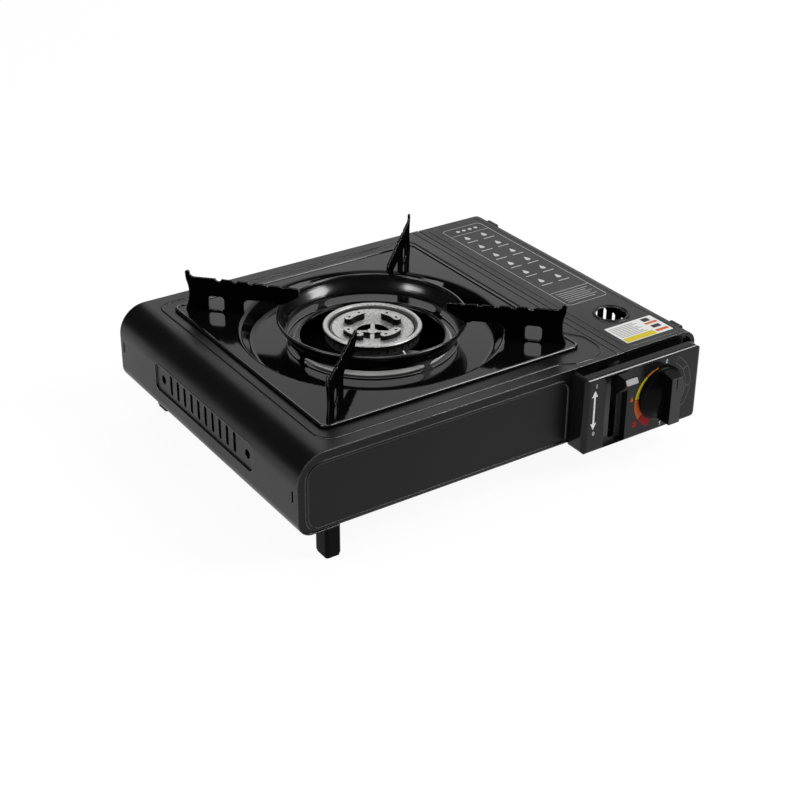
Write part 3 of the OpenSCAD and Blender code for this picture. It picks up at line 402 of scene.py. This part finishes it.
def dress_knob(f):
    """Polished front of the grip; its flanks and the skirt behind are dull."""
    grip_front = (-33.3, -32.8)
    f.drive("Specular IOR Level", f.height("Y", grip_front, (0.45, 0.05)))


def dress_plate(f):
    """The flanges that face upwards under the lid are dull."""
    f.drive("Specular IOR Level", f.facing("Z", (0.8, 0.95), (0.5, 0.05)))


SHELL = baked_enamel("shell_enamel", tone=0.004, rough=0.34, ior=1.28)
PLATE = baked_enamel("end_plate_enamel", tone=0.004, rough=0.38, ior=1.28, dress=dress_plate)
LID = baked_enamel("lid_enamel", tone=0.007, rough=0.42, ior=1.31)
TRAY = vitreous_enamel("tray_enamel", TRAY_TONE, rough=0.07, ior=TRAY_IOR, dress=paint_lip_highlight)
RING = vitreous_enamel("ring_enamel", tone=0.0025, rough=0.15, ior=1.65)
ARM = vitreous_enamel("arm_enamel", tone=0.0020, rough=0.16, ior=2.2, sheen=0.0)
ZINC = galvanised_sheet("zinc_sheet")
STEEL = turned_metal("plated_steel", (0.58, 0.58, 0.59), rough=0.28)
BRASS = turned_metal("turned_brass", (0.70, 0.50, 0.20))
COPPER = turned_metal("copper_tube", (0.72, 0.40, 0.24), rough=0.3)
CASTING = turned_metal("die_cast_zinc", (0.52, 0.53, 0.55), rough=0.45)
CAP = cast_burner_face("burner_face")
HEAD = burner_black("burner_black")
CASING = moulded_plastic("panel_casing", CASING_COLOUR, rough=0.16, grain_mm=0.006,
                         ior=CASING_IOR, dress=dress_casing)
KNOB_BLACK = moulded_plastic("knob_black", (0.003, 0.003, 0.0032), rough=0.25, grain_mm=0.012,
                             ior=1.5, dress=dress_knob)
FOOT_BLACK = moulded_plastic("foot_black", (0.002, 0.002, 0.0021), rough=0.5, ior=1.14)
LEVER_BLACK = moulded_plastic("lever_black", (0.003, 0.003, 0.0032), rough=0.5, ior=1.25)
IGNITER_BLUE = moulded_plastic("igniter_blue", (0.03, 0.06, 0.16), rough=0.4)
IGNITER_IVORY = moulded_plastic("igniter_ivory", (0.62, 0.60, 0.52), rough=0.4)
RUBBER = soft_rubber("seal_rubber")
LEAD = soft_rubber("lead_sleeve", (0.03, 0.03, 0.032))
CERAMIC = fired_ceramic("electrode_ceramic")

WEARS = {
    SHELL: ["body_shell", "right_wall"],
    PLATE: ["front_plate", "rear_plate", "base_plate", "bay_front_wall", "hinge_lugs"],
    LID: ["lid"],
    TRAY: ["drip_tray"],
    RING: ["wind_ring"],
    ARM: ["arm_front_left", "arm_rear_left", "arm_front_right", "arm_rear_right"],
    ZINC: ["partition", "burner_bracket", "lever_bracket", "slide_guides", "push_slide",
           "mixing_tube"],
    STEEL: ["diaphragm_cover", "electrode_pin", "electrode_bracket", "base_screws",
            "valve_screws", "lock_lever", "lever_shaft", "lid_pins"],
    BRASS: ["gas_jet", "pipe_nut", "knob_spindle"],
    COPPER: ["gas_pipe"],
    CASTING: ["valve_body", "gas_inlet"],
    CAP: ["burner_cap"],
    HEAD: ["burner_head"],
    CASING: ["control_box"],
    KNOB_BLACK: ["knob"],
    FOOT_BLACK: ["foot_front_left", "foot_rear_left", "foot_front_right", "foot_rear_right"],
    LEVER_BLACK: ["lever_handle"],
    IGNITER_BLUE: ["piezo_body"],
    IGNITER_IVORY: ["igniter_plunger", "igniter_cam"],
    RUBBER: ["inlet_seal", "push_pad"],
    LEAD: ["ignition_lead"],
    CERAMIC: ["electrode_insulator"],
}
for material, names in WEARS.items():
    for name in names:
        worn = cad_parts[name].data.materials
        worn.clear()
        worn.append(material)

INK_WHITE = screen_ink("ink_white", (0.86, 0.86, 0.85))
INK_GREY = screen_ink("ink_grey", (0.60, 0.60, 0.60))
INK_DIM = screen_ink("ink_dim", (0.11, 0.11, 0.11))
INK_YELLOW = screen_ink("ink_yellow", (0.62, 0.50, 0.008))
INK_AMBER = screen_ink("ink_amber", (0.66, 0.22, 0.008))
INK_ORANGE = screen_ink("ink_orange", (0.60, 0.11, 0.008))
INK_RED = screen_ink("ink_red", (0.38, 0.003, 0.008))
LABEL_WHITE = screen_ink("label_white", (0.74, 0.74, 0.73), rough=0.35)
LABEL_GREY = screen_ink("label_grey", (0.16, 0.16, 0.16))
LABEL_DARK = screen_ink("label_dark", (0.02, 0.02, 0.02))
LEVER_TIP = moulded_plastic("lever_tip_grey", (0.42, 0.42, 0.42), rough=0.4)


# ---------------------------------------------------------------- flat shapes


def merge(parts):
    """Several (points, faces) as one, each part's faces moved on by the points before it."""
    points, faces, shift = [], [], 0
    for p, f in parts:
        points.append(p)
        faces += [tuple(i + shift for i in face) for face in f]
        shift += len(p)
    return np.vstack(points), faces


def flat_plate(outline, low=0, high=PRINT_THICK):
    """Prism of a closed flat outline: its points at height low and again at high, caps and walls."""
    n = len(outline)
    points = np.hstack([np.vstack([outline, outline]), np.repeat([low, high], n)[:, None]])
    i = np.arange(n)
    j = (i + 1) % n
    walls = np.column_stack([i, j, n + j, n + i]).tolist()
    return points, [i[::-1].tolist(), (n + i).tolist(), *walls]


def flat_band(outer, inner):
    """Frame between two outlines of equal count: both, low and high, joined by quads."""
    n, high = len(outer), PRINT_THICK
    rings = ((outer, 0), (outer, high), (inner, high), (inner, 0))
    points = np.vstack([np.column_stack([ring, np.full(n, level)]) for ring, level in rings])
    i = np.arange(n)
    j = (i + 1) % n
    sides = [np.column_stack([a * n + i, a * n + j, b * n + j, b * n + i])
             for a, b in ((0, 1), (1, 2), (2, 3), (3, 0))]
    return points, np.vstack(sides).tolist()


def stroke(path, width, high=PRINT_THICK):
    """Open line of constant width: each point of the path moved half the width to both sides."""
    path = np.asarray(path, float)
    way = np.gradient(path, axis=0)
    side = np.column_stack([-way[:, 1], way[:, 0]])
    side *= width / 2 / np.linalg.norm(side, axis=1)[:, None]
    return flat_plate(np.vstack([path + side, (path - side)[::-1]]), 0, high)


def rays(a0, a1, count):
    """Unit vectors at even steps from angle a0 to a1 in degrees: (cos a, sin a)."""
    angle = np.radians(np.linspace(a0, a1, count))
    return np.column_stack([np.cos(angle), np.sin(angle)])


def round_box(x0, y0, x1, y1, radius):
    """Rectangle whose corners are quarter circles, anticlockwise: one quarter, turned four times."""
    per_corner = 7
    quarter = radius * rays(0, 90, per_corner)
    turn = np.array([[0, 1], [-1, 0]])
    left, right, low, high = x0 + radius, x1 - radius, y0 + radius, y1 - radius
    corners = []
    for centre in ((right, high), (left, high), (left, low), (right, low)):
        corners.append(quarter + centre)
        quarter = quarter @ turn
    return np.vstack(corners)


def drop(centre, size):
    """Flame drop, a circle drawn up to a point: with r half the size and s = |sin(t/2)| cubed,
    x = r sin t (1 - 0.75 s) and y = -r cos t (1 + 0.6 s).
    """
    count, narrowing, rise = 20, 0.75, 0.6
    t = np.linspace(0, 2 * np.pi, count, endpoint=False)
    s = np.abs(np.sin(t / 2)) ** 3
    x = size / 2 * np.sin(t) * (1 - narrowing * s)
    y = -size / 2 * np.cos(t) * (1 + rise * s)
    return np.asarray(centre) + np.column_stack([x, y])


def numeral(text, size, centre):
    """A plain numeral as flat plates, from its filled outline, centred on centre."""
    curve = bpy.data.curves.new("numeral", "FONT")
    curve.body, curve.size, curve.extrude = text, size, PRINT_THICK / 2
    curve.align_x, curve.align_y = "CENTER", "CENTER"
    carrier = bpy.data.objects.new("numeral", curve)
    bpy.context.scene.collection.objects.link(carrier)
    solid = carrier.evaluated_get(bpy.context.evaluated_depsgraph_get())
    mesh = bpy.data.meshes.new_from_object(solid)
    points = np.empty(3 * len(mesh.vertices))
    mesh.vertices.foreach_get("co", points)
    faces = [tuple(p.vertices) for p in mesh.polygons]
    bpy.data.objects.remove(carrier)
    bpy.data.meshes.remove(mesh)
    return points.reshape(-1, 3) + [*centre, PRINT_THICK / 2], faces


# ---------------------------------------------------------------- laying the shapes on the stove


def on_lid(points):
    """Flat (x, y, height) to the lid's top."""
    return place(points + [0, 0, LID_TOP])


def on_panel(points):
    """Flat (x, z, height) to the front of the control box."""
    x, z, height = points.T
    return place(np.column_stack([x, PANEL_FRONT - height, z]))


def on_lever(points):
    """(x, across, along) in the lever's own line, turned about its pivot to where the lever rests."""
    x, across, along = points.T
    c, s = math.cos(LEVER_REST), math.sin(LEVER_REST)
    y = LEVER_PIVOT[0] + along * c + across * s
    z = LEVER_PIVOT[1] - along * s + across * c
    return place(np.column_stack([LEVER_X + x, y, z]))


def make_piece(name, points, faces, material, body):
    """A mesh object at the origin with its faces turned outwards, riding on a body."""
    mesh = bpy.data.meshes.new(name)
    mesh.from_pydata(points, [], faces)
    shell = bmesh.new()
    shell.from_mesh(mesh)
    bmesh.ops.recalc_face_normals(shell, faces=shell.faces)
    shell.to_mesh(mesh)
    shell.free()
    mesh.materials.append(material)
    made = bpy.data.objects.new(name, mesh)
    bpy.context.scene.collection.objects.link(made)
    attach(made, body)


def print_lid_marks(name, ink, parts):
    """Flat parts as one piece of print on the lid."""
    points, faces = merge(parts)
    make_piece(name, on_lid(points), faces, ink, "lid")


def print_panel_marks(name, ink, parts):
    """Flat parts as one piece of print on the control box."""
    points, faces = merge(parts)
    make_piece(name, on_panel(points), faces, ink, "body")


# ---------------------------------------------------------------- printed marks


def print_lid():
    """Thin frame with a head line, rows of flame drops over short bars, and ruled lines below."""
    left, front, right, back, corner, line = 292.3, 82.5, 331.7, 253.6, 4.0, 0.35
    head_y, head_line, foot_y, rule, inset = 239.5, 0.32, 107, 0.4, 0.3
    dot, dot_y, dot_round = 3.4, 244.6, 1.6
    flame, flame_up = 5.4, 2.5
    half_bar, bar_low, bar_high, bar_round = 5.5, 5.4, 4.6, 0.39
    outer = round_box(left, front, right, back, corner)
    inner = round_box(left + line, front + line, right - line, back - line, corner - line)
    parts = [flat_band(outer, inner),
             stroke([[left + inset, head_y], [right - inset, head_y]], head_line),
             stroke([[left + inset, foot_y], [right - inset, foot_y]], rule)]
    for x in (303, 309, 315, 321):
        parts.append(flat_plate(round_box(x, dot_y, x + dot, dot_y + dot, dot_round)))
    for y, end in ((103, 327), (100, 323), (97, 327), (94, 323), (91, 327), (88, 323)):
        parts.append(stroke([[296, y], [end, y]], rule))
    for y in (228, 208, 188, 168, 148, 128):
        for x in (303, 320):
            bar = round_box(x - half_bar, y - bar_low, x + half_bar, y - bar_high, bar_round)
            parts += [flat_plate(drop((x, y + flame_up), flame)), flat_plate(bar)]
    print_lid_marks("lid_print", INK_GREY, parts)


def print_lid_label():
    """White label with a yellow band, plain grey rules and two dark blocks over orange bars."""
    over = PRINT_THICK + 0.06
    rule_left, rule_right, first_rule, rule_step, rule_width = 290.6, 316, 18.6, 2.1, 0.6

    def boxes(*sizes):
        """Rounded plates from left, front, right, back and corner radius."""
        return [flat_plate(round_box(*size), 0, over) for size in sizes]

    rules = []
    for i in range(8):
        y, ragged = first_rule + rule_step * i, 2.5 * (i % 3)
        rules.append(stroke([[rule_left, y], [rule_right - ragged, y]], rule_width, over))
    paper = flat_plate(round_box(288.6, 9.6, 333.8, 36.6, 0.8))
    band = boxes((289.6, 10.4, 318.6, 16.6, 0.4))
    blocks = boxes((322, 29.6, 328.6, 34.8, 0.8), (322, 18.4, 330, 22.8, 0.8))
    bars = boxes((320.4, 25.4, 332, 28, 0.5), (320.4, 12.4, 332, 15.6, 0.5))
    print_lid_marks("lid_label", LABEL_WHITE, [paper])
    print_lid_marks("lid_label_band", INK_YELLOW, band)
    print_lid_marks("lid_label_rules", LABEL_GREY, rules)
    print_lid_marks("lid_label_blocks", LABEL_DARK, blocks)
    print_lid_marks("lid_label_bars", INK_ORANGE, bars)


def scale_band(a0, a1, grow0, grow1):
    """Band on a circle round the knob whose width grows evenly from grow0 to grow1."""
    inner, count = 20.8, 20
    ray = rays(a0, a1, count)
    wide = np.linspace(grow0, grow1, count)[:, None]
    near, far = KNOB_AXIS + ray * inner, KNOB_AXIS + ray * (inner + wide)
    return flat_plate(np.vstack([near, far[::-1]]))


def outlined_sector(a0, a1):
    """Four lines round a sector beside the knob: two arcs and two ends."""
    outside, inside, line, count = 29.2, 24.2, 0.5, 24
    far = KNOB_AXIS + outside * rays(a0, a1, count)
    near = KNOB_AXIS + inside * rays(a0, a1, count)
    return [stroke(path, line) for path in (far, near, [far[0], near[0]], [far[-1], near[-1]])]


def double_arrow(centre):
    """Upright arrow with a head at both ends: its right side, and the same turned half round."""
    tip, shoulder, shaft = 16.0, 10.6, 10.9
    half_head, half_shaft = 2.7, 0.75
    side = np.array([[0, tip], [half_head, shoulder], [half_shaft, shaft],
                     [half_shaft, -shaft], [half_head, -shoulder]])
    return np.vstack([side, -side]) + centre


def print_panel():
    """Double arrow, numerals, a heat scale that widens round the knob, and dim outlined sectors."""
    digit_size = 4.4
    digits = (("1", 237.6, 79.2), ("0", 237.4, 40.4), ("0", 304.0, 80.4), ("5", 302.2, 29.2))
    marks = [flat_plate(double_arrow((236.6, 60)))]
    marks += [numeral(digit, digit_size, (x, z)) for digit, x, z in digits]
    small_flame, large_flame = drop((272.4, 57.6), 3.2), drop((276.6, 35.8), 4.8)
    amber, yellow = scale_band(100, 130, 1.0, 2.0), scale_band(131, 179, 2.0, 3.9)
    orange, red = scale_band(180.5, 219, 4.1, 5.9), scale_band(221, 247, 6.0, 7.2)
    sectors = outlined_sector(58, 33) + outlined_sector(31, -3) + outlined_sector(-5, -38)
    print_panel_marks("panel_marks", INK_WHITE, marks)
    print_panel_marks("scale_amber", INK_AMBER, [amber])
    print_panel_marks("scale_yellow", INK_YELLOW, [yellow])
    print_panel_marks("scale_orange", INK_ORANGE, [orange, flat_plate(small_flame)])
    print_panel_marks("scale_red", INK_RED, [red, flat_plate(large_flame)])
    print_panel_marks("panel_sectors", INK_DIM, sectors)


def fit_lever_tip():
    """Pale pad on the lever's end: a rounded plate across the grip's nose, in the lever's own line."""
    grip_end, thick = -62.5, 0.45
    points, faces = flat_plate(round_box(-5.4, -2.6, 5.4, 1.9, 0.9), grip_end, grip_end - thick)
    make_piece("lever_tip", on_lever(points), faces, LEVER_TIP, "lever")


print_lid()
print_lid_label()
print_panel()
fit_lever_tip()


# ---------------------------------------------------------------- studio


def pale_floor():
    """Plain floor: white to the camera and in gloss, with the object's shadow kept by a share of matt."""
    half_size, glow_strength, glow_share = 6.0, 1.04, 0.90
    corners = np.array([[-1, -1, 0], [1, -1, 0], [1, 1, 0], [-1, 1, 0]]) * half_size
    mesh = bpy.data.meshes.new("floor")
    mesh.from_pydata(corners, [], [(0, 1, 2, 3)])
    made = bpy.data.objects.new("floor", mesh)
    bpy.context.scene.collection.objects.link(made)
    material = bpy.data.materials.new("floor_white")
    material.use_nodes = True
    tree = material.node_tree
    tree.nodes.clear()
    matt = add_node(tree, "ShaderNodeBsdfDiffuse", Color=(0.80, 0.80, 0.80, 1))
    glow = add_node(tree, "ShaderNodeEmission", Color=(1, 1, 1, 1), Strength=glow_strength)
    ray = add_node(tree, "ShaderNodeLightPath").outputs
    seen = join_values(tree, "MAXIMUM", ray["Is Camera Ray"], ray["Is Glossy Ray"])
    seen = join_values(tree, "MAXIMUM", seen, ray["Is Transmission Ray"])
    share = join_values(tree, "MULTIPLY", seen, glow_share)
    surface = add_node(tree, "ShaderNodeOutputMaterial").inputs["Surface"]
    mix_shaders(tree, share, matt.outputs[0], glow.outputs[0], surface)
    mesh.materials.append(material)


def studio_world():
    """Even grey surround; white where the camera looks past the floor."""
    world = bpy.data.worlds.new("studio")
    bpy.context.scene.world = world
    world.use_nodes = True
    tree = world.node_tree
    base = tree.nodes["Background"]
    base.inputs["Color"].default_value = (1, 1, 1, 1)
    base.inputs["Strength"].default_value = 0.05
    sky = add_node(tree, "ShaderNodeBackground", Color=(1, 1, 1, 1), Strength=1.0)
    camera_ray = add_node(tree, "ShaderNodeLightPath").outputs["Is Camera Ray"]
    surface = tree.nodes["World Output"].inputs["Surface"]
    mix_shaders(tree, camera_ray, base.outputs[0], sky.outputs[0], surface)


def softbox(name, azimuth, elevation, distance, width, height, radiance):
    """Rectangular lamp aimed at the stove; azimuth from +Y towards +X; power from radiance and area."""
    aim_height = 0.06
    a, e = math.radians(azimuth), math.radians(elevation)
    way = Vector((math.sin(a) * math.cos(e), math.cos(a) * math.cos(e), math.sin(e)))
    lamp = bpy.data.lights.new(name, "AREA")
    lamp.shape, lamp.size, lamp.size_y = "RECTANGLE", width, height
    lamp.energy = radiance * math.pi * width * height
    made = bpy.data.objects.new(name, lamp)
    made.location = way * distance + Vector((0, 0, aim_height))
    made.rotation_euler = way.to_track_quat("Z", "Y").to_euler()
    bpy.context.scene.collection.objects.link(made)


def stove_camera():
    """Camera of a 73 mm lens, set by its place and by its right, up and back directions as columns."""
    where = (-0.617011, -0.892527, 0.629780)
    directions = Matrix(((0.830056, 0.255264, -0.495829),
                         (-0.557627, 0.392099, -0.731649),
                         (0.007651, 0.883798, 0.467806)))
    lens = bpy.data.cameras.new("camera")
    lens.lens, lens.sensor_width = 72.8, 36
    lens.shift_x, lens.shift_y = -0.0041, -0.0437
    lens.clip_end = 50
    made = bpy.data.objects.new("camera", lens)
    made.matrix_world = Matrix.Translation(where) @ directions.to_4x4()
    bpy.context.scene.collection.objects.link(made)
    bpy.context.scene.camera = made


# azimuth and elevation in degrees; distance, width and height in metres; radiance
LAMPS = {
    "rear_softbox": (44, 34, 2.4, 2.6, 2.2, 1.3),
    "top_softbox": (-20, 82, 2.0, 0.9, 0.9, 1.5),
    "front_softbox": (134, 40, 2.2, 0.8, 1.3, 10.0),
    "left_softbox": (275, 44, 2.2, 0.8, 0.5, 10.5),
    "overhead_softbox": (195, 66, 2.2, 0.5, 0.35, 7.0),
}

pale_floor()
studio_world()
for lamp_name, setting in LAMPS.items():
    softbox(lamp_name, *setting)
stove_camera()

bpy.context.scene.view_settings.view_transform = "Standard"

bpy.context.view_layer.update()
